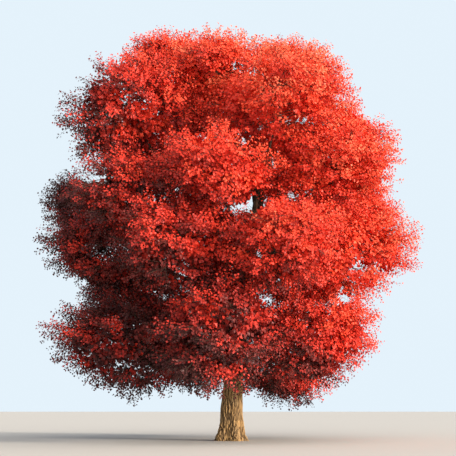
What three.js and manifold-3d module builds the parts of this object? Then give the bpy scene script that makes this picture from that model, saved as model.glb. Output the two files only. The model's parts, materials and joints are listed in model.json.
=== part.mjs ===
// A mature open-grown maple in red autumn leaf: a flared trunk that forks low, the limbs and boughs
// that divide from it, and the dense masses of foliage that they carry. Millimetres, +Z up. The
// origin is the centre of the flat cut under the trunk, +X is to the right and -Y is the front.
//
// The crown is a stack of tiers. Each tier is a ring of masses, each mass keeps to its own space,
// and one bough runs from the wood below to each mass. Wood thickens by what it carries.

import * as THREE from "three";
import { mergeVertices } from "three/addons/utils/BufferGeometryUtils.js";
import Module from "manifold-3d";

const wasm = await Module();
wasm.setup();

// Trunk
const TRUNK_GROUND_RADIUS = 480; // without the flare of the roots
const TRUNK_TOP_RADIUS = 400;
const TRUNK_TOP = new THREE.Vector3(120, 0, 2750);
const TRUNK_BEND = new THREE.Vector3(-30, 0, 1375);
const FORK_HEIGHT = 2350;
const SHOULDER = 0.55; // share of its radius that the trunk keeps above its fork
const FLARE = 300; // how far the roots spread past the trunk at the ground
const FLARE_HEIGHT = 520;
const BUTTRESSES = 6;
const BUTTRESS_DEPTH = 0.4; // share of the flare
const BUTTRESS_DRIFT = 0.8; // radians that the buttresses stray from even places
const TRUNK_SIDES = 24;
const TRUNK_STEPS = 9;
const STEPS_TO_ROOTS = 1.5; // the steps are closer together at the roots by this power

// Crown. Each tier has the height of its masses' centres, how far it reaches to the left and to the
// right, the azimuth of its first mass in degrees from +X, the radius of a mass, how steeply its boughs
// climb, in degrees, and how many of its limbs rise from the trunk's fork. It has one mass for each of
// its leads, which say how steeply the leading shoots of that mass climb outwards, in degrees.
const TIERS = [
  { height: 16110, left: 5150, right: 5610, azimuth: -27, radius: 2680, rise: 78, forks: 2,
    leads: [-15, 0, 0, 45, 0] },
  { height: 13500, left: 8490, right: 7250, azimuth: 142, radius: 3110, rise: 58, forks: 3,
    leads: [0, -50, 0, -5, -5] },
  { height: 10320, left: 8620, right: 7840, azimuth: 169, radius: 2700, rise: 44, forks: 0,
    leads: [40, -15, 0, -5, -15, 0, 0] },
  { height: 7430, left: 8120, right: 7840, azimuth: 193, radius: 3060, rise: 26, forks: 0,
    leads: [15, 0, 0, 15, 0, 0, 5] },
  { height: 4350, left: 7000, right: 6500, azimuth: -30, radius: 3070, rise: 10, forks: 0,
    leads: [20, -45, -50, 10, -60] },
];
const LEAD = 0.28; // how much further a mass reaches along its leading shoots, as a share
const LEAD_FOCUS = 5; // how closely that reach keeps to their direction
const FLATNESS = 0.8; // a mass is this share as high as it is wide
const HEIGHT_JITTER = 600;
const REACH_JITTER = 500;
const AZIMUTH_JITTER = 8; // degrees
const RADIUS_JITTER = 0.1; // share
const SEED = 141;

// Wood
const BOUGH_TIP_RADIUS = 70;
const BOUGH_TAPER = 0.006; // thickening per length, beside what the wood carries
const EASED_OVER = 0.06; // share of a limb, on each side, over which its thickness eases
const LIMB_SIDES = 6;
const LIMB_STEPS = 6;
const FOLLOW_PARENT = 0.75; // how much a limb's first direction follows its parent's
const BEND_AT = 0.48; // where along its length a limb bends
const SAMPLES = 40; // places tried along a parent
const SLOPE_WEIGHT = 9000; // millimetres of reach that one radian off the tier's rise counts as
const FORK_FROM = 0.68; // share of the trunk's line, to the lowest limb of its fork
const FORK_TO = 0.74; // share of the trunk's line, to the highest limb of its fork
const FORK_SPREAD = 150; // from the trunk's line to where a limb of its fork starts
const FIRST_BOUGH = 900; // along a limb, to its first bough
const LAST_BOUGH = 0.85; // share of a limb, to its last bough
const BOUGH_END = 0.62; // share of the mass's radius from its centre, where its bough ends
const SEAT_GAP = 0.3;
const FINEST_WOOD = 0.05; // corners nearer than this to their neighbours' plane are left out

// Foliage. Shares are of the mass's radius, unless another is named.
const CORE = 0.7; // the dense inside of a mass
const CORE_LEAN = 0.16; // larger by this on its outer side, smaller by this towards its bough
const CORE_LUMPS = 0.14; // share of the core's radius
const TWIGS = 8;
const STEM_REACH = 0.35; // how far past the mass's centre its stem runs
const TWIG_REACH = 0.72;
const FIRST_TWIG = 0.45; // share of the stem, to its first twig
const LAST_TWIG = 0.98; // share of the stem, to its last twig
const TWIG_BACK = -0.45; // how far back towards the tree the twigs turn, as a cosine
const STEM_RADIUS = 62;
const STEM_TIP_RADIUS = 34;
const STEM_SIDES = 4;
const STEM_STEPS = 2;
const TWIG_RADIUS = 34;
const TWIG_TIP_RADIUS = 22;
const TWIG_SIDES = 3;
const SPRAY_LENGTH = 1500;
const SPRAY_WIDTH = 1.0; // share of its length
const SPRAY_THICKNESS = 0.03; // share of its length
const SPRAY_ROOTS = [0.88, 0.97]; // where a twig's sprays leave it, as shares of the twig
const SPRAY_SUNK = 20; // past the middle of its twig
const SPRAY_LIFT = 0.5; // radians outwards from the mass's surface
const LEAD_LIFT = 1.1; // the same on the leading shoots
const SPRAY_SHORTER = [1, 0.85, 0.7, 0.55]; // lengths tried, as shares
// A spray's outline from its tip round to its root: angle in degrees, and radius beside the tip's.
const SPRAY_OUTLINE = [
  [0, 1],
  [34, 0.55],
  [70, 0.92],
  [180, 1],
  [290, 0.92],
  [326, 0.55],
];
const SPACE_GAP = 25; // between two masses
const SPACE_MARGIN = 1.12; // cores and boughs end where the mass's space goes on this much further
const DRAWN_IN = 0.95; // share by which they are drawn in at a time
const FINEST = 3; // in the foliage, corners nearer than this to their neighbours' plane are left out
const WOOD_CLEARANCE = 12; // between foliage and a limb that it passes

const UP = new THREE.Vector3(0, 0, 1);
const CYLINDER_AXIS = new THREE.Vector3(0, 1, 0); // of a three.js cylinder
const GOLDEN_ANGLE = Math.PI * (3 - Math.sqrt(5));

// A number from -1 to 1 that looks random and is always the same for the same two numbers.
function jitter(item, salt) {
  const wave = Math.sin((item + 1) * 12.9898 + salt * 78.233 + SEED * 37.719) * 43758.5453;
  return 2 * (wave - Math.floor(wave)) - 1;
}

// A three.js geometry with its shared vertices merged.
function mergedGeometry(geometry) {
  const bare = geometry.clone();
  bare.deleteAttribute("normal");
  bare.deleteAttribute("uv");
  return mergeVertices(bare, 1e-3);
}

// A three.js geometry as a manifold-3d solid.
function solidOf(geometry) {
  const merged = mergedGeometry(geometry);
  return new wasm.Manifold(
    new wasm.Mesh({
      numProp: 3,
      vertProperties: new Float32Array(merged.attributes.position.array),
      triVerts: new Uint32Array(merged.index.array),
    }),
  );
}

// A manifold-3d solid as a three.js geometry.
function geometryOf(solid) {
  const mesh = solid.getMesh();
  const geometry = new THREE.BufferGeometry();
  geometry.setAttribute("position", new THREE.BufferAttribute(new Float32Array(mesh.vertProperties), 3));
  geometry.setIndex(new THREE.BufferAttribute(new Uint32Array(mesh.triVerts), 1));
  geometry.computeVertexNormals();
  return geometry;
}

// The largest body of a solid, without the scraps that a cut leaves.
function largestBody(solid) {
  return solid.decompose().reduce((best, body) => (body.volume() > best.volume() ? body : best));
}

// Moves each vertex of a unit cylinder from (x, t, z) to place(t, x, z).
function bentCylinder(sides, steps, place) {
  const geometry = new THREE.CylinderGeometry(1, 1, 1, sides, steps);
  const position = geometry.attributes.position;
  for (let i = 0; i < position.count; i++) {
    const moved = place(position.getY(i) + 0.5, position.getX(i), position.getZ(i));
    position.setXYZ(i, moved.x, moved.y, moved.z);
  }
  return geometry;
}

// The trunk's line, and its radius at a height and an angle: true taper, and roots at the ground.
const trunkLine = new THREE.QuadraticBezierCurve3(
  new THREE.Vector3(0, 0, 0),
  TRUNK_BEND,
  TRUNK_TOP,
);

function trunkRadius(height, angle) {
  const taper = THREE.MathUtils.lerp(TRUNK_GROUND_RADIUS, TRUNK_TOP_RADIUS, height / TRUNK_TOP.z);
  const spread = Math.exp(-height / FLARE_HEIGHT);
  const wave = Math.cos(BUTTRESSES * angle + BUTTRESS_DRIFT * Math.sin(2 * angle));
  const buttress = 1 - BUTTRESS_DEPTH * (1 - wave);
  const above = THREE.MathUtils.smoothstep(height, FORK_HEIGHT, TRUNK_TOP.z);
  return (taper + FLARE * spread * buttress) * THREE.MathUtils.lerp(1, SHOULDER, above);
}

function trunkGeometry(extra = 0) {
  return bentCylinder(TRUNK_SIDES, TRUNK_STEPS, (t, x, z) => {
    const centre = trunkLine.getPoint(t ** STEPS_TO_ROOTS);
    const angle = Math.atan2(-z, x);
    const reach = Math.hypot(x, z) * (trunkRadius(centre.z, angle) + extra);
    const offset = new THREE.Vector3(Math.cos(angle), Math.sin(angle), 0).multiplyScalar(reach);
    return offset.add(centre);
  });
}

// How far the tier's crown reaches in a direction.
function tierReach(tier, angle) {
  const side = Math.cos(angle) < 0 ? tier.left : tier.right;
  const depth = (tier.left + tier.right) / 2;
  return 1 / Math.hypot(Math.cos(angle) / side, Math.sin(angle) / depth);
}

// The masses of the crown: name, centre, radius, leading shoots and the rise of the bough.
const masses = TIERS.flatMap((tier, level) =>
  tier.leads.map((lead, k) => {
    const id = 10 * level + k;
    const turn = tier.azimuth + (360 * k) / tier.leads.length + AZIMUTH_JITTER * jitter(id, 1);
    const angle = THREE.MathUtils.degToRad(turn);
    const radius = tier.radius * (1 + RADIUS_JITTER * jitter(id, 2));
    const out = tierReach(tier, angle) - radius + REACH_JITTER * jitter(id, 3);
    const height = tier.height + HEIGHT_JITTER * jitter(id, 4);
    return {
      id,
      name: `foliage_tier${TIERS.length - level}_${k + 1}`,
      centre: new THREE.Vector3(out * Math.cos(angle), out * Math.sin(angle), height),
      radius,
      lead: new THREE.Vector3(Math.cos(angle), Math.sin(angle), 0)
        .multiplyScalar(Math.cos(THREE.MathUtils.degToRad(lead)))
        .addScaledVector(UP, Math.sin(THREE.MathUtils.degToRad(lead))),
      rise: THREE.MathUtils.degToRad(tier.rise),
      forks: k < tier.forks,
    };
  }),
);

// The offset of a point from a mass's centre, with height stretched so that the mass is a ball.
function stretched(mass, point) {
  const offset = point.clone().sub(mass.centre);
  offset.z /= FLATNESS;
  return offset;
}

// How far a mass reaches in a direction: its radius, and further along its leading shoots.
function reachOf(mass, direction) {
  return mass.radius * (1 + LEAD * Math.max(0, direction.dot(mass.lead)) ** LEAD_FOCUS);
}

// Whether a point is in a mass's own space: within its reach, and on its side of the flat walls
// halfway to the other masses.
function inSpace(mass, point) {
  const offset = stretched(mass, point);
  const own = offset.lengthSq() - mass.radius ** 2;
  if (offset.length() > reachOf(mass, offset.clone().normalize())) return false;
  return masses.every((other) => {
    if (other === mass) return true;
    const away = stretched(other, point).lengthSq() - other.radius ** 2;
    const apart = stretched(mass, other.centre).length();
    return (away - own) / (2 * apart) > SPACE_GAP / FLATNESS;
  });
}

// A point of a mass, in a direction from its centre, at a share of its reach.
function pointOf(mass, direction, share) {
  const offset = direction.clone().multiplyScalar(share * reachOf(mass, direction));
  offset.z *= FLATNESS;
  return mass.centre.clone().add(offset);
}

// A share of a mass's reach, drawn in until the mass's own space goes on past it.
function shareWithin(mass, direction, share) {
  let within = share;
  while (!inSpace(mass, pointOf(mass, direction, within * SPACE_MARGIN))) within *= DRAWN_IN;
  return within;
}

// The limb that runs from the best place on the wood so far to where it enters the mass.
function limbTo(mass, parents) {
  let best = { cost: Infinity };
  for (const parent of parents) {
    for (let i = 0; i <= SAMPLES; i++) {
      const t = THREE.MathUtils.lerp(parent.from, parent.to, i / SAMPLES);
      const start = parent.line.getPoint(t);
      const reach = mass.centre.clone().sub(start);
      start.addScaledVector(reach.clone().setZ(0).normalize(), parent.spread);
      const slope = Math.atan2(reach.z, Math.hypot(reach.x, reach.y));
      const cost = reach.length() + SLOPE_WEIGHT * Math.abs(slope - mass.rise);
      if (cost < best.cost) best = { cost, parent, t, start };
    }
  }
  const { parent, t, start } = best;
  const inward = stretched(mass, start).normalize();
  const entry = pointOf(mass, inward, shareWithin(mass, inward, BOUGH_END));
  const reach = entry.clone().sub(start);
  const first = parent.line
    .getTangent(t)
    .multiplyScalar(FOLLOW_PARENT)
    .add(reach.clone().normalize())
    .normalize();
  const bend = start.clone().addScaledVector(first, BEND_AT * reach.length());
  return {
    name: mass.name.replace("foliage", "bough"),
    line: new THREE.QuadraticBezierCurve3(start, bend, entry),
    length: reach.length(),
    parent,
    at: t,
    from: FIRST_BOUGH / reach.length(),
    to: LAST_BOUGH,
    spread: 0,
    carries: [],
    mass,
  };
}

// All limbs, grown from the top of the crown down, so that the first ones are the leaders.
const trunk = { line: trunkLine, from: FORK_FROM, to: FORK_TO, spread: FORK_SPREAD, carries: [] };
const limbs = [];
for (const mass of masses) {
  const limb = limbTo(mass, mass.forks ? [trunk] : limbs);
  limb.parent.carries.push(limb);
  limbs.push(limb);
}

// The area of wood a limb has at t, as the number of bough tips that it carries from there on.
function tipsBeyond(limb, t) {
  return limb.carries
    .filter((child) => child.at > t)
    .reduce((sum, child) => sum + tipsBeyond(child, 0), 1);
}

// A limb's radius at t, eased between the places where its boughs leave it.
function limbRadius(limb, t) {
  const places = [t - EASED_OVER, t, t + EASED_OVER].map((place) => THREE.MathUtils.clamp(place, 0, 1));
  const tips = places.reduce((sum, place) => sum + tipsBeyond(limb, place), 0) / places.length;
  return BOUGH_TIP_RADIUS * Math.sqrt(tips) + BOUGH_TAPER * limb.length * (1 - t);
}

function limbGeometry(limb, extra = 0) {
  const frames = limb.line.computeFrenetFrames(LIMB_STEPS, false);
  return bentCylinder(LIMB_SIDES, LIMB_STEPS, (t, x, z) => {
    const k = Math.round(t * LIMB_STEPS);
    const radius = limbRadius(limb, t) + extra;
    return limb.line
      .getPoint(t)
      .addScaledVector(frames.tangents[k], t === 1 ? extra : 0)
      .addScaledVector(frames.normals[k], x * radius)
      .addScaledVector(frames.binormals[k], -z * radius);
  });
}

// A straight tapered twig between two points.
function twigGeometry(from, to) {
  const along = to.clone().sub(from);
  const geometry = new THREE.CylinderGeometry(TWIG_TIP_RADIUS, TWIG_RADIUS, along.length(), TWIG_SIDES, 1);
  const turn = new THREE.Quaternion().setFromUnitVectors(CYLINDER_AXIS, along.normalize());
  const middle = from.clone().lerp(to, 0.5);
  return geometry.applyQuaternion(turn).translate(middle.x, middle.y, middle.z);
}

// A spray of leaves as one lobed blade: a six-sided double pyramid with its rim drawn to an outline.
function sprayGeometry(root, direction, face, length) {
  const geometry = new THREE.SphereGeometry(1, SPRAY_OUTLINE.length, 2);
  const position = geometry.attributes.position;
  const across = direction.clone().cross(face).normalize();
  const normal = across.clone().cross(direction).normalize();
  const centre = root.clone().addScaledVector(direction, length / 2);
  for (let i = 0; i < position.count; i++) {
    const rim = Math.hypot(position.getX(i), position.getZ(i));
    const turn = Math.atan2(position.getZ(i), position.getX(i)) / (2 * Math.PI);
    const place = Math.round((turn + 1) * SPRAY_OUTLINE.length) % SPRAY_OUTLINE.length;
    const [degrees, radius] = SPRAY_OUTLINE[place];
    const angle = THREE.MathUtils.degToRad(degrees);
    const reach = (rim * radius * length) / 2;
    const point = centre
      .clone()
      .addScaledVector(direction, reach * Math.cos(angle))
      .addScaledVector(across, reach * SPRAY_WIDTH * Math.sin(angle))
      .addScaledVector(normal, (SPRAY_THICKNESS * length * position.getY(i)) / 2);
    position.setXYZ(i, point.x, point.y, point.z);
  }
  return geometry;
}

// The stem of a mass goes on from its bough's tip, and bends towards the far side of the mass.
function stemLine(limb) {
  const { centre, radius } = limb.mass;
  const entry = limb.line.getPoint(1);
  const onward = limb.line.getTangent(1);
  const start = entry.clone().addScaledVector(onward, SEAT_GAP);
  const outward = centre.clone().sub(entry).normalize();
  const end = centre.clone().addScaledVector(outward, STEM_REACH * radius);
  const bend = start.clone().addScaledVector(onward, start.distanceTo(end) / 2);
  return new THREE.QuadraticBezierCurve3(start, bend, end);
}

function stemGeometry(line) {
  const frames = line.computeFrenetFrames(STEM_STEPS, false);
  return bentCylinder(STEM_SIDES, STEM_STEPS, (t, x, z) => {
    const k = Math.round(t * STEM_STEPS);
    const radius = THREE.MathUtils.lerp(STEM_RADIUS, STEM_TIP_RADIUS, t);
    return line
      .getPoint(t)
      .addScaledVector(frames.normals[k], x * radius)
      .addScaledVector(frames.binormals[k], -z * radius);
  });
}

// Twig directions: a golden-angle spiral round the stem from its foot on, and the lead at its tip.
function twigDirection(mass, axis, k) {
  if (k === TWIGS - 1) return mass.lead;
  const side = new THREE.Vector3().crossVectors(axis, UP).normalize();
  const above = new THREE.Vector3().crossVectors(side, axis);
  const cosine = THREE.MathUtils.lerp(TWIG_BACK, 1, k / (TWIGS - 1));
  const angle = k * GOLDEN_ANGLE + Math.PI * jitter(mass.id, 5);
  const sine = Math.sqrt(1 - cosine ** 2);
  return axis
    .clone()
    .multiplyScalar(cosine)
    .addScaledVector(side, sine * Math.cos(angle))
    .addScaledVector(above, sine * Math.sin(angle))
    .normalize();
}

// The dense inside of a mass: a lumpy ball that leans outwards, drawn in where the space ends sooner.
function coreGeometry(mass, axis) {
  const geometry = mergedGeometry(new THREE.IcosahedronGeometry(1, 1));
  const position = geometry.attributes.position;
  for (let i = 0; i < position.count; i++) {
    const direction = new THREE.Vector3().fromBufferAttribute(position, i);
    const lump = 1 + CORE_LUMPS * jitter(mass.id * position.count + i, 7);
    const share = (CORE + CORE_LEAN * direction.dot(axis)) * lump;
    const point = pointOf(mass, direction, shareWithin(mass, direction, share));
    position.setXYZ(i, point.x, point.y, point.z);
  }
  return geometry;
}

// A piece of foliage as a solid, if it keeps to the mass's own space and clear of what it passes.
function pieceWithin(mass, geometry, passed) {
  const corner = new THREE.Vector3();
  const position = geometry.attributes.position;
  for (let i = 0; i < position.count; i++) {
    if (!inSpace(mass, corner.fromBufferAttribute(position, i))) return null;
  }
  const solid = solidOf(geometry);
  return passed.every((other) => solid.intersect(other).isEmpty()) ? solid : null;
}

// A spray's direction: on the mass's surface and a little outwards, fanned round its twig.
function sprayDirection(mass, direction, k, s) {
  const side = new THREE.Vector3().crossVectors(direction, UP).normalize();
  const above = new THREE.Vector3().crossVectors(side, direction);
  const angle = (2 * Math.PI * s) / SPRAY_ROOTS.length + Math.PI * jitter(mass.id * TWIGS + k, 6);
  const lift = k === TWIGS - 1 ? LEAD_LIFT : SPRAY_LIFT;
  return side
    .multiplyScalar(Math.cos(angle))
    .addScaledVector(above, Math.sin(angle))
    .multiplyScalar(Math.cos(lift))
    .addScaledVector(direction, Math.sin(lift))
    .normalize();
}

// One mass of foliage: its core, its stem, its twigs and their sprays, fused.
function growMass(limb, wood) {
  const { mass } = limb;
  const line = stemLine(limb);
  const axis = mass.centre.clone().sub(limb.line.getPoint(1)).normalize();
  const stem = solidOf(stemGeometry(line));
  const twigs = [];
  const sprays = [];
  for (let k = 0; k < TWIGS; k++) {
    const direction = twigDirection(mass, axis, k);
    const from = line.getPoint(THREE.MathUtils.lerp(FIRST_TWIG, LAST_TWIG, k / (TWIGS - 1)));
    const to = pointOf(mass, direction, TWIG_REACH);
    const twig = pieceWithin(mass, twigGeometry(from, to), [wood, ...sprays]);
    if (!twig) continue;
    const before = sprays.length;
    SPRAY_ROOTS.forEach((share, s) => {
      const along = sprayDirection(mass, direction, k, s);
      const root = from.clone().lerp(to, share).addScaledVector(along, -SPRAY_SUNK);
      const passed = [wood, stem, ...twigs, ...sprays];
      const spray = SPRAY_SHORTER.map((shorter) =>
        pieceWithin(mass, sprayGeometry(root, along, direction, shorter * SPRAY_LENGTH), passed),
      ).find(Boolean);
      if (spray) sprays.push(spray);
    });
    if (sprays.length > before) twigs.push(twig);
  }
  const core = solidOf(coreGeometry(mass, axis)).subtract(wood);
  const whole = wasm.Manifold.union([core, stem, ...twigs, ...sprays]);
  return largestBody(whole.asOriginal().simplify(FINEST));
}

const bark = new THREE.MeshStandardMaterial({ name: "bark", color: 0x9c7a4e, roughness: 0.95, metalness: 0 });
const foliage = TIERS.map(
  (_, level) =>
    new THREE.MeshStandardMaterial({
      name: `foliage_tier${TIERS.length - level}`,
      color: new THREE.Color(0xc8201a).lerp(new THREE.Color(0xe8452a), 1 - level / TIERS.length),
      roughness: 0.8,
      metalness: 0,
    }),
);

function named(name, solid, material) {
  const mesh = new THREE.Mesh(geometryOf(solid), material);
  mesh.name = name;
  return mesh;
}

// Wood first: each limb is cut clear of all the wood before it.
const tree = new THREE.Group();
tree.add(named("trunk", solidOf(trunkGeometry()), bark));
let seats = solidOf(trunkGeometry(SEAT_GAP));
for (const limb of limbs) {
  const cut = solidOf(limbGeometry(limb)).subtract(seats);
  tree.add(named(limb.name, largestBody(cut.asOriginal().simplify(FINEST_WOOD)), bark));
  seats = seats.add(solidOf(limbGeometry(limb, SEAT_GAP)));
}

// Then the foliage, each mass clear of all wood.
const wood = wasm.Manifold.union([
  solidOf(trunkGeometry(WOOD_CLEARANCE)),
  ...limbs.map((limb) => solidOf(limbGeometry(limb, WOOD_CLEARANCE))),
]);
for (const limb of limbs) {
  const level = TIERS.length - Number(limb.mass.name.match(/tier(\d)/)[1]);
  tree.add(named(limb.mass.name, growMass(limb, wood), foliage[level]));
}

export default tree;
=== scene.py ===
import json
import math
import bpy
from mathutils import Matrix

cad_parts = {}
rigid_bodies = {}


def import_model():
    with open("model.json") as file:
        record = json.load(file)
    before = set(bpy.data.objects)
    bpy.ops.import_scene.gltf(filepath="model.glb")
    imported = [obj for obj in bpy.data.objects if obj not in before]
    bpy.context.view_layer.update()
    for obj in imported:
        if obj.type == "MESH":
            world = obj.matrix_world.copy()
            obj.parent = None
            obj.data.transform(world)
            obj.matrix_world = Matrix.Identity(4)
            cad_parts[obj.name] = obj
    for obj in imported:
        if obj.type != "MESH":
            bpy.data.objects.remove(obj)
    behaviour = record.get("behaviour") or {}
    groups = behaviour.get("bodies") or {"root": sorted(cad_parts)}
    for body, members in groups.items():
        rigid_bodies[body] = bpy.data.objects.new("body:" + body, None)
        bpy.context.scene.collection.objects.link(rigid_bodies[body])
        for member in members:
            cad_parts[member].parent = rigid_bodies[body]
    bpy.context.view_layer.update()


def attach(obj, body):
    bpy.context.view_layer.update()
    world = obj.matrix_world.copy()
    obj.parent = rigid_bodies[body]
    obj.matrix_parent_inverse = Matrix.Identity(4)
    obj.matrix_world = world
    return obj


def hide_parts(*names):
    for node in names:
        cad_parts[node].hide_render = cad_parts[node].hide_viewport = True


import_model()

from types import SimpleNamespace

import bmesh
import bpy
import numpy as np
from mathutils import Matrix, Vector, noise

scene = bpy.context.scene

# Camera, floor and light
#
# The tree is seen by a person who stands 36 m in front of it and looks a little up into its crown.
# A low warm sun stands to the right, a broad warm glow comes from above it, and soft light from
# the sky fills the shade. The floor is plain and pale.
EYE = Vector((-0.15, -36.0, 1.3))
EYE_PITCH = math.radians(12.5)
EYE_LENS = 64.6
EYE_SENSOR = 36.0
EYE_SEES = 1000.0
WARM_LIGHT = (1.0, 0.89, 0.76)
SUN_FROM = Vector((0.86, -0.46, 0.24))
SUN_STRENGTH = 4.2
SUN_SOFTNESS = math.radians(8)
GLOW_FROM = Vector((0.56, -0.62, 0.55))
GLOW_STRENGTH = 3.1
GLOW_SOFTNESS = math.radians(110)
SKY_SEEN = (0.78, 0.89, 0.97)
SKY_LIGHT = (0.50, 0.58, 0.72)
SKY_LIGHT_STRENGTH = 0.68
FLOOR_SIZE = 900.0
FLOOR_COLOUR = (0.62, 0.60, 0.55)
FLOOR_ROUGHNESS = 0.9
DULL_SHEEN = 0.2

camera = bpy.data.objects.new("camera", bpy.data.cameras.new("camera"))
camera.data.sensor_width = EYE_SENSOR
camera.data.lens = EYE_LENS
camera.data.clip_end = EYE_SEES
camera.location = EYE
camera.rotation_euler = (math.pi / 2 + EYE_PITCH, 0, 0)
scene.collection.objects.link(camera)
scene.camera = camera

for name, place, strength, softness in (
    ("sun", SUN_FROM, SUN_STRENGTH, SUN_SOFTNESS),
    ("glow", GLOW_FROM, GLOW_STRENGTH, GLOW_SOFTNESS),
):
    light = bpy.data.objects.new(name, bpy.data.lights.new(name, "SUN"))
    light.data.energy = strength
    light.data.angle = softness
    light.data.color = WARM_LIGHT
    light.rotation_euler = place.to_track_quat("Z", "Y").to_euler()
    scene.collection.objects.link(light)

sky = bpy.data.worlds.new("sky")
sky.use_nodes = True
sky_light = sky.node_tree.nodes["Background"]
sky_light.inputs["Color"].default_value = (*SKY_LIGHT, 1)
sky_light.inputs["Strength"].default_value = SKY_LIGHT_STRENGTH
sky_seen = sky.node_tree.nodes.new("ShaderNodeBackground")
sky_seen.inputs["Color"].default_value = (*SKY_SEEN, 1)
seen = sky.node_tree.nodes.new("ShaderNodeLightPath")
either = sky.node_tree.nodes.new("ShaderNodeMixShader")
for given, taken in (
    (seen.outputs["Is Camera Ray"], either.inputs["Fac"]),
    (sky_light.outputs["Background"], either.inputs[1]),
    (sky_seen.outputs["Background"], either.inputs[2]),
    (either.outputs["Shader"], sky.node_tree.nodes["World Output"].inputs["Surface"]),
):
    sky.node_tree.links.new(given, taken)
scene.world = sky
scene.view_settings.view_transform = "Standard"


def plain_mesh(name, points, faces, edges=()):
    """An object at the origin with this mesh."""
    mesh = bpy.data.meshes.new(name)
    mesh.from_pydata([tuple(p) for p in points], list(edges), [tuple(f) for f in faces])
    mesh.update()
    piece = bpy.data.objects.new(name, mesh)
    scene.collection.objects.link(piece)
    return piece


def new_finish(name, roughness):
    """A new material and its surface shader."""
    material = bpy.data.materials.new(name)
    material.use_nodes = True
    surface = material.node_tree.nodes["Principled BSDF"]
    surface.inputs["Roughness"].default_value = roughness
    return material, surface


def plain_finish(name, colour, roughness):
    """A material with one even colour."""
    material, surface = new_finish(name, roughness)
    surface.inputs["Base Color"].default_value = (*colour, 1)
    surface.inputs["Specular IOR Level"].default_value = DULL_SHEEN
    return material


half = FLOOR_SIZE / 2
floor = plain_mesh(
    "floor",
    [(-half, -half, 0), (half, -half, 0), (half, half, 0), (-half, half, 0)],
    [(0, 1, 2, 3)],
)
floor.data.materials.append(plain_finish("pale floor", FLOOR_COLOUR, FLOOR_ROUGHNESS))

# Trunk and limbs: their lines
#
# A maple's trunk forks low into steep leaders, and every other limb leaves one of them. The crown
# is a stack of rings of masses. One limb runs to each mass, and wood is as thick as what it carries.
TRUNK_GROUND_RADIUS = 0.480
TRUNK_TOP_RADIUS = 0.400
TRUNK_LINE = np.array([(0, 0, 0), (-0.030, 0, 1.375), (0.120, 0, 2.750)])
FORK_HEIGHT = 2.350
SHOULDER = 0.55
FLARE = 0.300
FLARE_HEIGHT = 0.520
BUTTRESSES = 6
BUTTRESS_DEPTH = 0.4
BUTTRESS_DRIFT = 0.8
# The masses' tiers from the top down: their height, their reach to the left and the right, where
# each ring begins, the masses' radius, how steeply their boughs rise, how many of these leave the
# trunk's fork, and how far each mass's leading shoots point up or down.
TIERS = [
    dict(height=16.11, left=5.15, right=5.61, azimuth=-27, radius=2.68, rise=78, forks=2,
         leads=[-15, 0, 0, 45, 0]),
    dict(height=13.50, left=8.49, right=7.25, azimuth=142, radius=3.11, rise=58, forks=3,
         leads=[0, -50, 0, -5, -5]),
    dict(height=10.32, left=8.62, right=7.84, azimuth=169, radius=2.70, rise=44, forks=0,
         leads=[40, -15, 0, -5, -15, 0, 0]),
    dict(height=7.43, left=8.12, right=7.84, azimuth=193, radius=3.06, rise=26, forks=0,
         leads=[15, 0, 0, 15, 0, 0, 5]),
    dict(height=4.35, left=7.00, right=6.50, azimuth=-30, radius=3.07, rise=10, forks=0,
         leads=[20, -45, -50, 10, -60]),
]
LEAD = 0.28
LEAD_FOCUS = 5
FLATNESS = np.array((1, 1, 0.8))
HEIGHT_JITTER = 0.600
REACH_JITTER = 0.500
AZIMUTH_JITTER = 8
RADIUS_JITTER = 0.1
JITTER_WAVES = (12.9898, 78.233, 37.719)
JITTER_HEIGHT = 43758.5453
SEED = 141
BOUGH_TIP_RADIUS = 0.070
BOUGH_TAPER = 0.006
EASED_OVER = 0.06
FOLLOW_PARENT = 0.75
BEND_AT = 0.48
SAMPLES = 40
SLOPE_WEIGHT = 9.0
FORK_FROM = 0.68
FORK_TO = 0.74
FORK_SPREAD = 0.150
FIRST_BOUGH = 0.900
LAST_BOUGH = 0.85
BOUGH_END = 0.62
SPACE_GAP = 0.025
SPACE_MARGIN = 1.12
DRAWN_IN = 0.95


def jitter(item, salt):
    """A number from -1 to 1 that is always the same for the same two numbers."""
    first, second, third = JITTER_WAVES
    wave = math.sin((item + 1) * first + salt * second + SEED * third) * JITTER_HEIGHT
    return 2 * (wave - math.floor(wave)) - 1


def lerp(a, b, t):
    return a + (b - a) * t


def unit(vector):
    return vector / np.linalg.norm(vector)


def eased_step(value, low, high):
    """From 0 at low to 1 at high, with soft ends."""
    t = np.clip((value - low) / (high - low), 0, 1)
    return t * t * (3 - 2 * t)


def along_line(line, t):
    return (1 - t) ** 2 * line[0] + 2 * t * (1 - t) * line[1] + t**2 * line[2]


def line_direction(line, t):
    return unit((1 - t) * (line[1] - line[0]) + t * (line[2] - line[1]))


def trunk_radius(height, angle):
    taper = lerp(TRUNK_GROUND_RADIUS, TRUNK_TOP_RADIUS, height / TRUNK_LINE[2][2])
    wave = np.cos(BUTTRESSES * angle + BUTTRESS_DRIFT * np.sin(2 * angle))
    buttress = 1 - BUTTRESS_DEPTH * (1 - wave)
    above = eased_step(height, FORK_HEIGHT, TRUNK_LINE[2][2])
    return (taper + FLARE * np.exp(-height / FLARE_HEIGHT) * buttress) * lerp(1, SHOULDER, above)


def tier_reach(tier, angle):
    side = tier["left"] if math.cos(angle) < 0 else tier["right"]
    depth = (tier["left"] + tier["right"]) / 2
    return 1 / math.hypot(math.cos(angle) / side, math.sin(angle) / depth)


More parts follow.
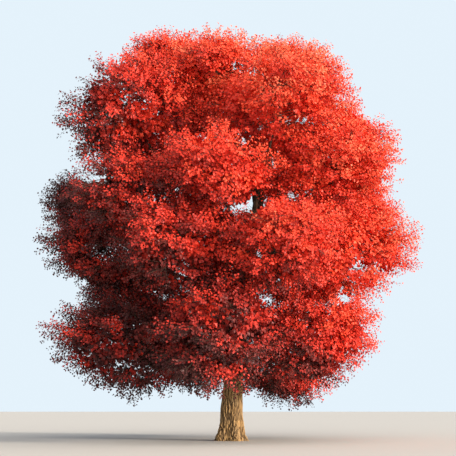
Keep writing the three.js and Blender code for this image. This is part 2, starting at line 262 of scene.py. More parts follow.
def ring_of_masses(level, tier):
    """One tier's masses: name, place, size, leading shoots, and the rise of their boughs."""
    ring = []
    for k, lead in enumerate(tier["leads"]):
        number = 10 * level + k
        turn = tier["azimuth"] + 360 * k / len(tier["leads"]) + AZIMUTH_JITTER * jitter(number, 1)
        angle = math.radians(turn)
        radius = tier["radius"] * (1 + RADIUS_JITTER * jitter(number, 2))
        out = tier_reach(tier, angle) - radius + REACH_JITTER * jitter(number, 3)
        height = tier["height"] + HEIGHT_JITTER * jitter(number, 4)
        ring.append(SimpleNamespace(
            number=number,
            name=f"tier{len(TIERS) - level}_{k + 1}",
            centre=np.array((out * math.cos(angle), out * math.sin(angle), height)),
            radius=radius,
            lead=np.array((
                math.cos(angle) * math.cos(math.radians(lead)),
                math.sin(angle) * math.cos(math.radians(lead)),
                math.sin(math.radians(lead)),
            )),
            rise=math.radians(tier["rise"]),
            forks=k < tier["forks"],
        ))
    return ring


masses = [mass for level, tier in enumerate(TIERS) for mass in ring_of_masses(level, tier)]


def reach_of(mass, direction):
    """How far a mass reaches in a direction: its radius, and further along its leading shoots."""
    return mass.radius * (1 + LEAD * np.maximum(0, direction @ mass.lead) ** LEAD_FOCUS)


def drawn_within(mass, points):
    """Points, drawn in towards the mass's centre where they are beyond its reach."""
    offset = (points - mass.centre) / FLATNESS
    length = np.maximum(np.linalg.norm(offset, axis=-1), 1e-9)[..., None]
    reach = reach_of(mass, offset / length)[..., None]
    return mass.centre + offset * np.minimum(1, reach / length) * FLATNESS


def in_space(mass, points):
    """Whether points are within a mass's reach, and on its side of the walls between masses."""
    own = (((points - mass.centre) / FLATNESS) ** 2).sum(-1) - mass.radius**2
    inside = (drawn_within(mass, points) == points).all(-1)
    for other in masses:
        if other is mass:
            continue
        away = (((points - other.centre) / FLATNESS) ** 2).sum(-1) - other.radius**2
        apart = np.linalg.norm((other.centre - mass.centre) / FLATNESS)
        inside = inside & ((away - own) / (2 * apart) > SPACE_GAP / FLATNESS[2])
    return inside


def point_of(mass, direction, share):
    return mass.centre + direction * share * reach_of(mass, direction) * FLATNESS


def share_within(mass, direction, share):
    """A share of a mass's reach, drawn in until the mass's own space goes on past it."""
    while not in_space(mass, point_of(mass, direction, share * SPACE_MARGIN)):
        share *= DRAWN_IN
    return share


def limb_to(mass, parents):
    """The limb from the best place on the wood so far to where it enters the mass."""
    best = None
    for parent in parents:
        for t in np.linspace(parent.first, parent.last, SAMPLES + 1):
            start = along_line(parent.line, t)
            reach = mass.centre - start
            start = start + unit(reach * (1, 1, 0)) * parent.spread
            slope = math.atan2(reach[2], math.hypot(reach[0], reach[1]))
            cost = np.linalg.norm(reach) + SLOPE_WEIGHT * abs(slope - mass.rise)
            if best is None or cost < best[0]:
                best = (cost, parent, t, start)
    _, parent, t, start = best
    inward = unit((start - mass.centre) / FLATNESS)
    entry = point_of(mass, inward, share_within(mass, inward, BOUGH_END))
    reach = entry - start
    length = np.linalg.norm(reach)
    first = unit(line_direction(parent.line, t) * FOLLOW_PARENT + unit(reach))
    return SimpleNamespace(
        name="bough_" + mass.name,
        line=np.array((start, start + first * BEND_AT * length, entry)),
        length=length,
        parent=parent,
        at=t,
        first=FIRST_BOUGH / length,
        last=LAST_BOUGH,
        spread=0,
        carries=[],
        mass=mass,
    )


trunk = SimpleNamespace(
    line=TRUNK_LINE,
    first=FORK_FROM,
    last=FORK_TO,
    spread=FORK_SPREAD,
    carries=[],
)
limbs = []
for mass in masses:
    limb = limb_to(mass, [trunk] if mass.forks else limbs)
    limb.parent.carries.append(limb)
    limbs.append(limb)


def tips_beyond(limb, t):
    return 1 + sum(tips_beyond(child, 0) for child in limb.carries if child.at > t)


def limb_radius(limb, t):
    nearby = (min(max(t + away, 0), 1) for away in (-EASED_OVER, 0, EASED_OVER))
    tips = np.mean([tips_beyond(limb, place) for place in nearby])
    return BOUGH_TIP_RADIUS * math.sqrt(tips) + BOUGH_TAPER * limb.length * (1 - t)


# Trunk and limbs: their wood
#
# Living wood under plated bark. The trunk and the feet of its leaders are one piece, grown together
# at the fork. The other limbs sit in a swollen collar on the limb that they leave.
TRUNK_SIDES = 72
TRUNK_ROW = 0.05
BELOW_GROUND = 0.10
LEADER_FOOT = 2.1
LEADER_OVERLAP = 0.45
LEADER_FOOT_ROWS = 40
LEADER_NARROWS = 0.25
LEADER_BEGINS = 0.85
LEADER_SIDES = 36
BOUGH_SIDES = 18
LIMB_ROW = 0.09
SWAY = 0.16
SWAY_LENGTH = 1.7
SWAY_APART = 7.3
COLLAR = 0.5
COLLAR_LENGTH = 1.6
LEAST_LEAN = 0.5
FORK_VOXEL = 0.021
FORK_SMOOTHING = 10
PLATE_WIDTH = 0.066
PLATE_LENGTH = 0.80
PLATE_WANDER = 0.22
PLATE_WANDER_PITCH = 5.0
PLATE_EDGE = (0.02, 0.36)
PLATE_RISE = 0.046
FURROW_LEVEL = 0.4
LUMP_SIZE = 0.55
LUMP_RISE = 0.035
THICK_BARK_RADIUS = 0.35
THIN_BARK = 0.15
GRAIN_DRAWN_OUT = (1, 1, 0.22)
GRAIN_SCALE = 34
GRAIN_ROUGHNESS = 0.65
GRAIN_RISE = 0.012
GRAIN_STRENGTH = 0.7
FURROW_IN_GRAIN = 0.8
PATCH_SCALE = 2.1
PATCH_SHARE = 1.5
# Each kind of bark from its dark grain to its light grain.
PLATE_COLOURS = (0.30, 0.165, 0.060, 1), (0.80, 0.50, 0.20, 1)
WEATHERED_COLOURS = (0.20, 0.130, 0.07, 1), (0.56, 0.40, 0.23, 1)
# Limbs up in the crown turn towards this colour between these heights: partly their own darker young
# bark, partly painted shade under the crown.
ALOFT_BARK_AND_SHADE_COLOUR = (0.046, 0.034, 0.029, 1)
ALOFT_BARK_AND_SHADE_SHARE = 0.9
ALOFT_FROM = 2.2
ALOFT_TO = 5.0
FURROW_COLOUR = (0.050, 0.030, 0.018, 1)
FURROW_SHARE = 0.85
FURROW_NARROWS = 1.5
BARK_ROUGHNESS = 0.92
# A direction that no limb runs along.
ASKEW = (0.31, 0.95, 0.11)


def tube(path, radii, sides):
    """A closed tube round a path, with round caps of one ring and a pole."""
    path = np.asarray(path)
    forward = np.gradient(path, axis=0)
    forward /= np.linalg.norm(forward, axis=1)[:, None]
    side = unit(np.cross(forward[0], ASKEW))
    angles = np.arange(sides) * 2 * math.pi / sides
    points = []
    for centre, ahead, radius in zip(path, forward, radii):
        side = unit(side - ahead * side.dot(ahead))
        across = np.cross(ahead, side)
        ring = np.cos(angles)[:, None] * side + np.sin(angles)[:, None] * across
        points.append(centre + ring * np.reshape(radius, (-1, 1)))
    points = np.concatenate([*points, path[:1], path[-1:]])
    foot, tip, last = len(points) - 2, len(points) - 1, len(points) - 2 - sides
    steps = [(s, (s + 1) % sides) for s in range(sides)]
    faces = []
    for row in range(0, last, sides):
        faces += [(row + s, row + n, row + sides + n, row + sides + s) for s, n in steps]
    faces += [(foot, n, s) for s, n in steps]
    faces += [(tip, last + s, last + n) for s, n in steps]
    return points, faces


def sway(limb, t):
    """How far a limb strays from its plain line: at its foot with its parent, at its tip not."""
    if limb is trunk:
        return np.zeros(3)
    place = Vector((t * limb.length / SWAY_LENGTH, limb.mass.number * SWAY_APART, 0))
    held = min(1, limb.length * min(t, 1 - t) / SWAY_LENGTH)
    stray = np.array(noise.noise_vector(place)) * SWAY * held
    return stray + sway(limb.parent, limb.at) * (1 - t) ** 2


def limb_path(limb, places):
    return np.array([along_line(limb.line, t) + sway(limb, t) for t in places])


def wood_radius(limb, t):
    """A limb's radius with its collar, where it comes out of its parent's bark."""
    radius = limb_radius(limb, t)
    if limb.parent is trunk:
        return radius
    onward = line_direction(limb.parent.line, limb.at)
    lean = np.linalg.norm(np.cross(line_direction(limb.line, 0), onward))
    out = t * limb.length - limb_radius(limb.parent, limb.at) / max(lean, LEAST_LEAN)
    return radius * (1 + COLLAR * math.exp(-max(out, 0) / (COLLAR_LENGTH * radius)))


def joined(parts):
    """Several meshes' points and faces as one."""
    points, faces, before = [], [], 0
    for some_points, some_faces in parts:
        points.append(some_points)
        faces += [tuple(before + i for i in face) for face in some_faces]
        before += len(some_points)
    return np.concatenate(points), faces


def bark_pattern(place):
    """0 on a plate of bark and 1 in a furrow, with plates drawn out along z."""
    wander = noise.noise_vector(place * PLATE_WANDER_PITCH) * PLATE_WANDER
    cell = Vector((place.x / PLATE_WIDTH, place.y / PLATE_WIDTH, place.z / PLATE_LENGTH))
    near, second = noise.voronoi(cell + wander)[0][:2]
    return 1 - float(eased_step(second - near, *PLATE_EDGE))


def raise_bark(piece, places, depths):
    """Moves each vertex along its normal by the bark's relief, and keeps where its furrows are."""
    mesh = piece.data
    count = len(mesh.vertices)
    points, normals = np.empty(count * 3), np.empty(count * 3)
    mesh.vertices.foreach_get("co", points)
    mesh.vertices.foreach_get("normal", normals)
    points, normals = points.reshape(-1, 3), normals.reshape(-1, 3)
    places = points if places is None else places
    furrow = np.array([bark_pattern(Vector(place)) for place in places])
    lumps = np.array([noise.noise(Vector(point) / LUMP_SIZE) for point in points])
    rise = (FURROW_LEVEL - furrow) * PLATE_RISE + lumps * LUMP_RISE
    points += normals * (rise * depths)[:, None]
    mesh.vertices.foreach_set("co", points.ravel())
    furrows = mesh.attributes.new("furrow", "FLOAT", "POINT")
    furrows.data.foreach_set("value", furrow.astype(np.float32))
    mesh.shade_smooth()
    mesh.update()


def settle(piece):
    """Gives a piece the plain mesh that its modifiers make, and removes them."""
    evaluated = piece.evaluated_get(bpy.context.evaluated_depsgraph_get())
    result = bpy.data.meshes.new_from_object(evaluated)
    piece.modifiers.clear()
    piece.data = result


def modify(piece, kind, **settings):
    """Applies one modifier to a piece."""
    modifier = piece.modifiers.new(kind, kind)
    for setting, value in settings.items():
        setattr(modifier, setting, value)
    settle(piece)


# The noise that bends the limbs and their bark is the same each time.
noise.seed_set(SEED)

heights = np.arange(-BELOW_GROUND, TRUNK_LINE[2][2] + TRUNK_ROW / 2, TRUNK_ROW)
trunk_path = np.array([along_line(TRUNK_LINE, h / TRUNK_LINE[2][2]) for h in heights])
trunk_angles = np.arange(TRUNK_SIDES) * 2 * math.pi / TRUNK_SIDES
trunk_rings = [trunk_radius(max(h, 0), trunk_angles) for h in heights]
fork_parts = [tube(trunk_path, trunk_rings, TRUNK_SIDES)]
for leader in trunk.carries:
    foot = (LEADER_FOOT + LEADER_OVERLAP) / leader.length
    places = np.linspace(0, foot, LEADER_FOOT_ROWS)
    ending = eased_step(places * leader.length, LEADER_FOOT, LEADER_FOOT + LEADER_OVERLAP)
    shrink = 1 - LEADER_NARROWS * ending
    radii = [wood_radius(leader, t) * s for t, s in zip(places, shrink)]
    fork_parts.append(tube(limb_path(leader, places), radii, LEADER_SIDES))
trunk_and_fork = plain_mesh("trunk_and_fork", *joined(fork_parts))
modify(trunk_and_fork, "REMESH", mode="VOXEL", voxel_size=FORK_VOXEL)
modify(trunk_and_fork, "SMOOTH", factor=0.5, iterations=FORK_SMOOTHING)
raise_bark(trunk_and_fork, None, 1)
cut = bmesh.new()
cut.from_mesh(trunk_and_fork.data)
ground = bmesh.ops.bisect_plane(
    cut,
    geom=[*cut.verts, *cut.edges, *cut.faces],
    plane_co=(0, 0, 0),
    plane_no=(0, 0, -1),
    clear_outer=True,
)
rim = [e for e in ground["geom_cut"] if isinstance(e, bmesh.types.BMEdge)]
bmesh.ops.contextual_create(cut, geom=rim)
bmesh.ops.triangulate(cut, faces=[f for f in cut.faces if len(f.verts) > 4])
cut.to_mesh(trunk_and_fork.data)
cut.free()

bough_parts, bark_places, bark_depths = [], [], []
for limb in limbs:
    is_leader = limb.parent is trunk
    begin = (LEADER_FOOT - LEADER_OVERLAP) / limb.length if is_leader else 0
    places = np.linspace(begin, 1, int(limb.length * (1 - begin) / LIMB_ROW))
    far = places * limb.length
    radii = [wood_radius(limb, t) for t in places]
    sides = BOUGH_SIDES
    if is_leader:
        begun = eased_step(far, LEADER_FOOT - LEADER_OVERLAP, LEADER_FOOT)
        radii = [radius * share for radius, share in zip(radii, lerp(LEADER_BEGINS, 1, begun))]
        sides = LEADER_SIDES
    points, faces = tube(limb_path(limb, places), radii, sides)
    bough_parts.append((points, faces))
    angles = np.tile(np.arange(sides) * 2 * math.pi / sides, len(places))
    around = np.repeat(radii, sides)
    across, up = around * np.cos(angles), around * np.sin(angles)
    straight = np.stack((across, up, np.repeat(far, sides)), 1)
    straight = np.concatenate((straight, [(0, 0, far[0]), (0, 0, far[-1])])) + limb.mass.number
    bark_places.append(points if is_leader else straight)
    thickness = np.concatenate((around, radii[:1], radii[-1:])) / THICK_BARK_RADIUS
    bark_depths.append(np.clip(thickness, THIN_BARK, 1))
boughs = plain_mesh("boughs", *joined(bough_parts))
raise_bark(boughs, np.concatenate(bark_places), np.concatenate(bark_depths))


class Wire:
    """A socket of a material, with arithmetic on it as Math nodes."""

    def __init__(self, tree, socket):
        self.tree, self.socket = tree, socket

    def math(self, operation, first, second):
        return node(self.tree, "ShaderNodeMath", {"operation": operation}, {0: first, 1: second})

    def __sub__(self, other):
        return self.math("SUBTRACT", self, other)

    def __rsub__(self, other):
        return self.math("SUBTRACT", other, self)

    def __mul__(self, other):
        return self.math("MULTIPLY", self, other)

    def __pow__(self, other):
        return self.math("POWER", self, other)

    __rmul__ = __mul__


def node(tree, kind, settings, sockets, output=0):
    """A node of a material, by its settings and its sockets' values or wires: the wire it gives."""
    made = tree.nodes.new(kind)
    for name, value in settings.items():
        setattr(made, name, value)
    for name, value in sockets.items():
        if isinstance(value, Wire):
            tree.links.new(value.socket, made.inputs[name])
        else:
            made.inputs[name].default_value = value
    return Wire(tree, made.outputs[output])


def mixed(tree, share, first, second):
    """A colour between two colours, which the Mix node takes at its sockets 6 and 7."""
    colours = {"Factor": share, 6: first, 7: second}
    return node(tree, "ShaderNodeMix", {"data_type": "RGBA"}, colours, output=2)


def bark_finish():
    """Light brown plates, weathered grey in patches, dark furrows; aloft, darker bark and painted
    shade.
    """
    material, surface = new_finish("bark", BARK_ROUGHNESS)
    surface.inputs["Specular IOR Level"].default_value = DULL_SHEEN
    tree = material.node_tree
    place = node(tree, "ShaderNodeTexCoord", {}, {}, output="Object")
    stretched = node(tree, "ShaderNodeMapping", {}, {"Vector": place, "Scale": GRAIN_DRAWN_OUT})
    fibres = {"Vector": stretched, "Scale": GRAIN_SCALE, "Detail": 6, "Roughness": GRAIN_ROUGHNESS}
    grain = node(tree, "ShaderNodeTexNoise", {}, fibres)
    blotches = {"Vector": place, "Scale": PATCH_SCALE, "Detail": 3}
    patches = node(tree, "ShaderNodeTexNoise", {}, blotches)
    furrow = node(tree, "ShaderNodeAttribute", {"attribute_name": "furrow"}, {}, output="Fac")
    plates = mixed(tree, grain, *PLATE_COLOURS)
    weathered = mixed(tree, grain, *WEATHERED_COLOURS)
    face = mixed(tree, patches**2 * PATCH_SHARE, plates, weathered)
    height = node(tree, "ShaderNodeSeparateXYZ", {}, {"Vector": place}, output="Z")
    # Painted shade aloft, together with the limbs' own darker bark.
    levels = {"Value": height, "From Min": ALOFT_FROM, "From Max": ALOFT_TO}
    aloft = node(tree, "ShaderNodeMapRange", {}, levels)
    face = mixed(tree, aloft * ALOFT_BARK_AND_SHADE_SHARE, face, ALOFT_BARK_AND_SHADE_COLOUR)
    colour = mixed(tree, furrow**FURROW_NARROWS * FURROW_SHARE, face, FURROW_COLOUR)
    tree.links.new(colour.socket, surface.inputs["Base Color"])
    fine = grain - furrow * FURROW_IN_GRAIN
    relief = {"Height": fine, "Strength": GRAIN_STRENGTH, "Distance": GRAIN_RISE}
    tree.links.new(node(tree, "ShaderNodeBump", {}, relief).socket, surface.inputs["Normal"])
    return material


bark = bark_finish()
trunk_and_fork.data.materials.append(bark)
boughs.data.materials.append(bark)
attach(trunk_and_fork, "root")
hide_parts("trunk")
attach(boughs, "root")
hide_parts(*(limb.name for limb in limbs))

# Twigs
#
# A stem goes on from each bough's tip into its mass of foliage. Twigs spiral round it at the golden
# angle, out to the skin of the mass, and finer twigs fan from each of them into a tuft.
STEM_REACH = 0.35
STEM_RADII = (0.066, 0.024)
STEM_ROWS = (0, 0.33, 0.67, 1)
ROUND_TWIGS = 42
LEAD_TWIGS = 6
TWIGS = ROUND_TWIGS + LEAD_TWIGS
LEAD_BACK = 0.85
TWIG_BACK = -0.80
TWIG_REACHES = (0.755, 0.52, 0.755, 0.755)
TWIG_REACH_JITTER = 0.08
TWIG_RADII = (0.020, 0.009)
TWIG_ROWS = (0, 0.4, 0.75, 1)
TWIG_ARCH = 0.12
FIRST_TWIG = 0.12
LAST_TWIG = 0.98
TUFT_RADIUS = 0.80
TUFT_RADIUS_JITTER = 0.2
TUFT_FLATNESS = np.array((1, 1, 0.62))
TUFT_TWIGS = 18
TUFT_BACK = -0.50
TUFT_FROM = 0.50
FINE_RADII = (0.007, 0.0035)
FINE_REACHES = (0.70, 1.12)
FINE_SCATTER = 0.10
FINE_ARCH = 0.05
FINE_BEND = 0.03
FINE_SIDES = 3
TWIG_COLOURS = (0.055, 0.035, 0.026, 1), (0.17, 0.11, 0.075, 1)
TWIG_GRAIN_SCALE = 9
TWIG_ROUGHNESS = 0.85
UP = np.array((0.0, 0.0, 1.0))
GOLDEN_ANGLE = math.pi * (3 - math.sqrt(5))
# Where the sky shows through the crown from the front, at the trunk's depth: across, up, and how
# far it opens across and up.
OPENINGS = np.array([
    (-6.2, 11.6, 0.77, 0.41), (0.9, 16.8, 0.55, 0.28), (0.2, 17.2, 0.31, 0.19),
    (3.1, 14.4, 0.95, 0.30), (-1.2, 13.5, 0.30, 0.19), (0.6, 13.3, 0.26, 0.46),
    (0.1, 10.3, 0.26, 0.22), (1.0, 10.5, 0.50, 0.86), (1.3, 10.1, 0.18, 0.31),
    (2.8, 10.7, 0.30, 0.24), (3.6, 10.9, 0.30, 0.24), (2.3, 11.9, 0.14, 0.12),
    (5.5, 7.6, 0.40, 0.24), (5.0, 6.2, 0.35, 0.30), (1.5, 6.0, 0.36, 0.17),
    (-2.1, 7.1, 0.29, 0.22), (1.8, 12.3, 0.18, 0.15), (-4.7, 10.4, 0.30, 0.19),
])
# Two crossing sets of waves make an opening's rim ragged. Each set has long and short waves: how
# close together they are, and how far they move the rim.
RIM_WAVES = (7.1, 3.3, 5.9), (-3.7, 6.1, 8.3)
RIM_PITCHES = (1, 0.25), (3.3, 0.30)
# How deep in an opening no tuft grows, and how deep a fine twig is left out by chance.
NO_TUFT = 0.5
FEWER_TWIGS = 0.1
FEWER_CHANCE = 0.5

draws = np.random.default_rng(SEED)


def stem_line(limb):
    entry = limb.line[2]
    onward = line_direction(limb.line, 1)
    end = limb.mass.centre + unit(limb.mass.centre - entry) * STEM_REACH * limb.mass.radius
    return np.array((entry, entry + onward * np.linalg.norm(end - entry) / 2, end))


def spread_round(axis, count, k, back, turn):
    """The k-th of a spiral of directions round an axis, from behind it to straight along it."""
    side = unit(np.cross(axis, UP))
    above = np.cross(side, axis)
    cosine = lerp(back, 1, k / (count - 1))
    angle = k * GOLDEN_ANGLE + turn
    sine = math.sqrt(max(0, 1 - cosine**2))
    return axis * cosine + side * sine * math.cos(angle) + above * sine * math.sin(angle)


def in_opening(points):
    """How far points are inside the crown's openings: 1 at an opening's middle, 0 at its rim."""
    away = points - np.array(EYE)
    places = np.array(EYE) - away * (EYE.y / away[..., 1:2])
    across = (places[..., None, 0] - OPENINGS[:, 0]) / OPENINGS[:, 2]
    up = (places[..., None, 2] - OPENINGS[:, 1]) / OPENINGS[:, 3]
    one, other = (points @ wave for wave in RIM_WAVES)
    ragged = sum(
        size * np.sin(one * pitch) * np.sin(other * pitch)
        for pitch, size in RIM_PITCHES
    )
    return (1 - np.hypot(across, up)).max(-1) + ragged


tufts = []
twig_lines = []
for limb in limbs:
    mass = limb.mass
    stem = stem_line(limb)
    twig_lines.append(([along_line(stem, t) for t in STEM_ROWS], STEM_RADII))
    axis = unit(mass.centre - limb.line[2])
    for k in range(TWIGS):
        number = mass.number * TWIGS + k
        if k < ROUND_TWIGS:
            turn = math.pi * jitter(mass.number, 5)
            way = spread_round(axis, ROUND_TWIGS, k, TWIG_BACK, turn)
        else:
            turn = math.pi * jitter(mass.number, 11)
            way = spread_round(mass.lead, LEAD_TWIGS, k - ROUND_TWIGS, LEAD_BACK, turn)
        foot = along_line(stem, lerp(FIRST_TWIG, LAST_TWIG, k / (TWIGS - 1)))
        share = TWIG_REACHES[k % len(TWIG_REACHES)] * (1 + TWIG_REACH_JITTER * jitter(number, 8))
        heart = point_of(mass, way, share)
        if not in_space(mass, heart) or in_opening(heart) > NO_TUFT:
            continue
        bend = lerp(foot, heart, 0.5) + UP * TWIG_ARCH * np.linalg.norm(heart - foot)
        line = np.array((foot, bend, heart))
        out = unit((heart - mass.centre) / FLATNESS)
        radius = TUFT_RADIUS * (1 + TUFT_RADIUS_JITTER * jitter(number, 9))
        tuft = SimpleNamespace(mass=mass, heart=heart, out=out, twigs=[])
        for j in range(TUFT_TWIGS):
            fan = spread_round(out, TUFT_TWIGS, j, TUFT_BACK, math.pi * jitter(number, 10))
            reach = fan * radius * TUFT_FLATNESS * draws.uniform(*FINE_REACHES)
            tip = drawn_within(mass, heart + reach + draws.normal(0, FINE_SCATTER, 3))
            start = along_line(line, lerp(TUFT_FROM, 1, j / (TUFT_TWIGS - 1)))
            open_here = max(in_opening(tip), in_opening(start)) > FEWER_TWIGS
            if open_here and draws.random() < FEWER_CHANCE:
                continue
            # Its bend is too slight to show, so its mesh and its leaves run from start to tip.
            middle = lerp(start, tip, 0.5) + UP * FINE_ARCH + draws.normal(0, FINE_BEND, 3)
            tuft.twigs.append(SimpleNamespace(line=np.array((start, middle, tip)), fan=fan))
        if tuft.twigs:
            tufts.append(tuft)
            twig_lines.append(([along_line(line, t) for t in TWIG_ROWS], TWIG_RADII))
            twig_lines += [((fine.line[0], fine.line[2]), FINE_RADII) for fine in tuft.twigs]


def tree_of_nodes(name, inputs):
    """An empty Geometry Nodes tree with its inputs, and the node that gives them."""
    tree = bpy.data.node_groups.new(name, "GeometryNodeTree")
    tree.interface.new_socket("Geometry", in_out="INPUT", socket_type="NodeSocketGeometry")
    for title, kind in inputs.items():
        tree.interface.new_socket(title, in_out="INPUT", socket_type=kind)
    tree.interface.new_socket("Geometry", in_out="OUTPUT", socket_type="NodeSocketGeometry")
    return tree, tree.nodes.new("NodeGroupInput"), tree.nodes.new("NodeGroupOutput")


def step(tree, kind, settings=(), **links):
    """A node of a Geometry Nodes tree: its settings, and what its sockets are linked to or hold."""
    made = tree.nodes.new(kind)
    for name, value in dict(settings).items():
        setattr(made, name, value)
    for title, value in links.items():
        socket = made.inputs[title.replace("_", " ")]
        if isinstance(value, bpy.types.NodeSocket):
            tree.links.new(value, socket)
        else:
            socket.default_value = value
    return made


def end_tree(tree, given, result, geometry):
    """Ends a Geometry Nodes tree with real mesh in the finish that it was given."""
    real = step(tree, "GeometryNodeRealizeInstances", Geometry=geometry)
    finished = step(
        tree,
        "GeometryNodeSetMaterial",
        Geometry=real.outputs["Geometry"],
        Material=given.outputs["Finish"],
    )
    tree.links.new(finished.outputs["Geometry"], result.inputs["Geometry"])


def twig_tree():
    """Round twigs along the lines of a mesh, as thick as their attribute says."""
    inputs = {"Sides": "NodeSocketInt", "Finish": "NodeSocketMaterial"}
    tree, given, result = tree_of_nodes("twigs", inputs)
    lines = step(tree, "GeometryNodeMeshToCurve", Mesh=given.outputs["Geometry"])
    thick = step(tree, "GeometryNodeInputNamedAttribute", {"data_type": "FLOAT"}, Name="thickness")
    sides = given.outputs["Sides"]
    ring = step(tree, "GeometryNodeCurvePrimitiveCircle", Resolution=sides, Radius=1.0)
    round_twigs = step(
        tree,
        "GeometryNodeCurveToMesh",
        Curve=lines.outputs["Curve"],
        Profile_Curve=ring.outputs["Curve"],
        Scale=thick.outputs["Attribute"],
    )
    end_tree(tree, given, result, round_twigs.outputs["Mesh"])
    return tree


def grow(piece, tree, **given):
    """Turns a piece into the plain mesh that a Geometry Nodes tree makes of it."""
    modifier = piece.modifiers.new("grow", "NODES")
    modifier.node_group = tree
    for socket in tree.interface.items_tree:
        if socket.in_out == "INPUT" and socket.name in given:
            modifier[socket.identifier] = given[socket.name]
    settle(piece)


def twig_finish():
    """Grey-brown young bark."""
    material, surface = new_finish("twig bark", TWIG_ROUGHNESS)
    tree = material.node_tree
    place = node(tree, "ShaderNodeTexCoord", {}, {}, output="Object")
    fibres = {"Vector": place, "Scale": TWIG_GRAIN_SCALE, "Detail": 2}
    colour = mixed(tree, node(tree, "ShaderNodeTexNoise", {}, fibres), *TWIG_COLOURS)
    tree.links.new(colour.socket, surface.inputs["Base Color"])
    return material


points, edges, thickness = [], [], []
for line, radii in twig_lines:
    first = len(points)
    points += list(line)
    edges += [(first + i, first + i + 1) for i in range(len(line) - 1)]
    thickness += list(np.linspace(*radii, len(line)))
twigs = plain_mesh("twigs", points, [], edges)
twigs.data.attributes.new("thickness", "FLOAT", "POINT").data.foreach_set("value", thickness)
grow(twigs, twig_tree(), Sides=FINE_SIDES, Finish=twig_finish())
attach(twigs, "root")
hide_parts(*("foliage_" + mass.name for mass in masses))

# Leaves
#
# Maple leaves in autumn red, in opposite pairs along every fine twig. Each is a blade on a long
# stalk, folded along its midrib, with its face to the light outside its tuft. Whole sprays are
# tinted alike, orange red where the sun reaches them and maroon in the shade: partly their own
# autumn colour and partly painted light and shade.
LEAF_LENGTH = 0.092
LEAF_SIZES = (0.8, 1.2)
LEAF_STRETCH = (0.08, 0.05, 0.5)
LEAF_ROUGHNESS = 0.42
# Leaves deeper in a mass are larger, up to this many times, between these shares of its reach.
INNER_LEAF = 2.2
INNER_DEPTHS = (0.52, 0.76)
LEAF_PAIRS = 7
LEAF_FROM = 0.35
FIRST_PAIR_TURNS = (0, 6)
# The blade's half width and where it is, its fold and its droop, and its stalk's length and width,
# as shares of its length.
BLADE_HALF = 0.50
BLADE_WIDEST = 0.42
BLADE_FOLD = 0.28
BLADE_DROOP = 0.10
STALK_LENGTH = 0.80
STALK_WIDTH = 0.03
# How much a leaf points out from its twig, on along it, down, and astray.
LEAF_OUT = 0.9
LEAF_AHEAD = 0.6
LEAF_DOWN = 0.30
LEAF_ASTRAY = 0.25
# How much its face turns out from its twig's tuft, out from its mass, to the sun, up, and astray.
FACE_FROM_TUFT = 0.6
FACE_FROM_MASS = 0.2
FACE_TO_SUN = 0.30
FACE_UP = 0.20
FACE_ASTRAY = 0.20
# How bright a spray's tint is, partly its own autumn colour and partly painted light and shade: by
# how far its tuft is to the right, to the back and up in the crown, where up counts less at either
# side, by how far the spray faces the light in its tuft, and by chance for each tuft and each spray.
CROWN_MIDDLE = np.array((0, 0, 9))
CROWN_RADIUS = 9
BRIGHT_RIGHT = 0.80
BRIGHT_BEHIND = -0.14
BRIGHT_UP = 0.95
BRIGHT_UP_RIGHT = 0.05
BRIGHT_UP_SIDES = -1.90
BRIGHT_TO_LIGHT = 0.44
BRIGHT_FROM = unit((0.55, -0.43, 0.72))
TUFT_CHANCE = 0.19
SPRAY_CHANCE = 0.10
# How deep in an opening leaves still grow, from the first that end to the last.
LEAVES_END = (-0.25, 0.35)
# Each tint's share of the sprays, from the shade to the light, and its colour.
TINTS = [
    ("maroon", 0.13, (0.078, 0.020, 0.019)),
    ("dark_red", 0.13, (0.19, 0.027, 0.023)),
    ("crimson", 0.14, (0.42, 0.034, 0.026)),
    ("red", 0.17, (0.70, 0.049, 0.030)),
    ("scarlet", 0.20, (0.87, 0.064, 0.034)),
    ("orange_red", 0.18, (0.94, 0.092, 0.040)),
    ("salmon", 0.05, (0.96, 0.18, 0.085)),
]


def leaf_blade():
    """One leaf along +Y with its face up: a stalk, and a blade of two faces beside its midrib."""
    stalk = [(-STALK_WIDTH / 2, 0, 0), (STALK_WIDTH / 2, 0, 0)]
    outline = [(0, 0), (BLADE_HALF, BLADE_WIDEST), (0, 1), (-BLADE_HALF, BLADE_WIDEST)]
    blade = [(x, STALK_LENGTH + y, BLADE_FOLD * abs(x) - BLADE_DROOP * y * y) for x, y in outline]
    return plain_mesh("leaf_blade", stalk + blade, [(0, 1, 2), (2, 3, 4), (2, 4, 5)])


def leaf_tree():
    """A leaf on every point, turned and sized by the point's attributes."""
    inputs = {
        "Leaf": "NodeSocketObject",
        "Length": "NodeSocketFloat",
        "Finish": "NodeSocketMaterial",
    }
    tree, given, result = tree_of_nodes("leaves", inputs)
    blade = step(tree, "GeometryNodeObjectInfo", Object=given.outputs["Leaf"])
    named = "GeometryNodeInputNamedAttribute"
    turn = step(tree, named, {"data_type": "QUATERNION"}, Name="turn")
    share = step(tree, named, {"data_type": "FLOAT_VECTOR"}, Name="share")
    length = given.outputs["Length"]
    size = step(tree, "ShaderNodeVectorMath", {"operation": "SCALE"}, Scale=length)
    tree.links.new(share.outputs["Attribute"], size.inputs[0])
    leaves = step(
        tree,
        "GeometryNodeInstanceOnPoints",
        Points=given.outputs["Geometry"],
        Instance=blade.outputs["Geometry"],
        Rotation=turn.outputs["Attribute"],
        Scale=size.outputs["Vector"],
    )
    end_tree(tree, given, result, leaves.outputs["Instances"])
    return tree


def leaf_turns(along, face):
    """Quaternions that turn +Y to a leaf's direction and +Z to the side that it shows the light."""
    across = np.cross(along, face)
    across /= np.linalg.norm(across, axis=1)[:, None]
    bases = np.stack((across, along, np.cross(across, along)), 2)
    return np.array([Matrix(basis).to_quaternion() for basis in bases])


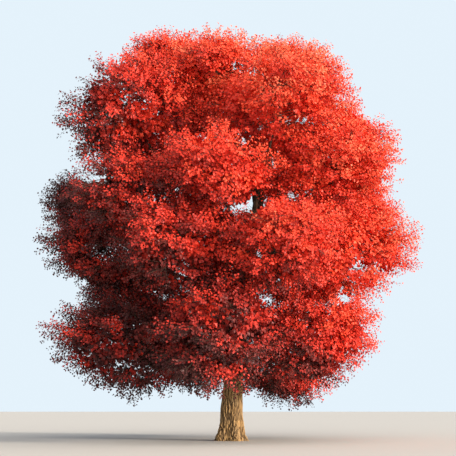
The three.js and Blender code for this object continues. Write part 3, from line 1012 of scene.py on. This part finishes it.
def spray_leaves(tuft, fine):
    """Feet, directions and faces of one fine twig's leaves, in opposite pairs."""
    t = np.repeat(np.linspace(LEAF_FROM, 1, LEAF_PAIRS), 2)
    foot = lerp(fine.line[0], fine.line[2], t[:, None])
    ahead = unit(fine.line[2] - fine.line[0])
    side = unit(np.cross(ahead, UP))
    above = np.cross(side, ahead)
    pair = np.repeat(np.arange(LEAF_PAIRS), 2)
    opposite = np.tile((0, math.pi), LEAF_PAIRS)
    turn = pair * math.pi / 2 + opposite + draws.uniform(*FIRST_PAIR_TURNS)
    out = side * np.cos(turn)[:, None] + above * np.sin(turn)[:, None]
    along = out * LEAF_OUT + ahead * LEAF_AHEAD - UP * LEAF_DOWN
    along = along + draws.normal(0, LEAF_ASTRAY, out.shape)
    along /= np.linalg.norm(along, axis=1)[:, None]
    face = fine.fan * FACE_FROM_TUFT + tuft.out * FACE_FROM_MASS
    face = face + unit(np.array(SUN_FROM)) * FACE_TO_SUN + UP * FACE_UP
    face = face + draws.normal(0, FACE_ASTRAY, out.shape)
    offset = (foot - tuft.mass.centre) / FLATNESS
    depth = np.linalg.norm(offset, axis=1)
    depth = depth / reach_of(tuft.mass, offset / depth[:, None])
    return foot, along, face, lerp(INNER_LEAF, 1, eased_step(depth, *INNER_DEPTHS))


# Sprays are ranked by a tint that is partly their own autumn colour and partly painted light and
# shade.
sprays = []
for tuft in tufts:
    x, y, z = (tuft.heart - CROWN_MIDDLE) / CROWN_RADIUS
    upward = BRIGHT_UP + BRIGHT_UP_RIGHT * x + BRIGHT_UP_SIDES * x**2
    tint_and_painted_light = BRIGHT_RIGHT * x + BRIGHT_BEHIND * y + upward * z + draws.normal(0, TUFT_CHANCE)
    for fine in tuft.twigs:
        # Painted light and shade: sprays that face the light in their tuft rank lighter.
        light = BRIGHT_TO_LIGHT * fine.fan.dot(BRIGHT_FROM)
        chance = draws.normal(0, SPRAY_CHANCE)
        sprays.append((tint_and_painted_light + light + chance, spray_leaves(tuft, fine)))
sprays.sort(key=lambda spray: spray[0])

blade = leaf_blade()
pattern = leaf_tree()
begin = 0
for tint, part, colour in TINTS:
    end = begin + round(part * len(sprays))
    own = zip(*(leaves for _, leaves in sprays[begin:end]))
    begin = end
    foot, along, face, size = (np.concatenate(values) for values in own)
    keep = in_opening(foot) < draws.uniform(*LEAVES_END, len(foot))
    foot, along, face, size = (values[keep] for values in (foot, along, face, size))
    share = draws.uniform(*LEAF_SIZES, (len(foot), 1))
    share = share * (1 + draws.normal(0, LEAF_STRETCH, (len(foot), 3))) * size[:, None]
    leaves = plain_mesh("leaves_" + tint, foot, [])
    turns = leaves.data.attributes.new("turn", "QUATERNION", "POINT")
    turns.data.foreach_set("value", leaf_turns(along, face).ravel())
    shares = leaves.data.attributes.new("share", "FLOAT_VECTOR", "POINT")
    shares.data.foreach_set("vector", share.ravel())
    finish = plain_finish(tint + " leaf", colour, LEAF_ROUGHNESS)
    grow(leaves, pattern, Leaf=blade, Length=LEAF_LENGTH, Finish=finish)
    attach(leaves, "root")
    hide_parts(*("foliage_" + mass.name for mass in masses))
bpy.data.objects.remove(blade)
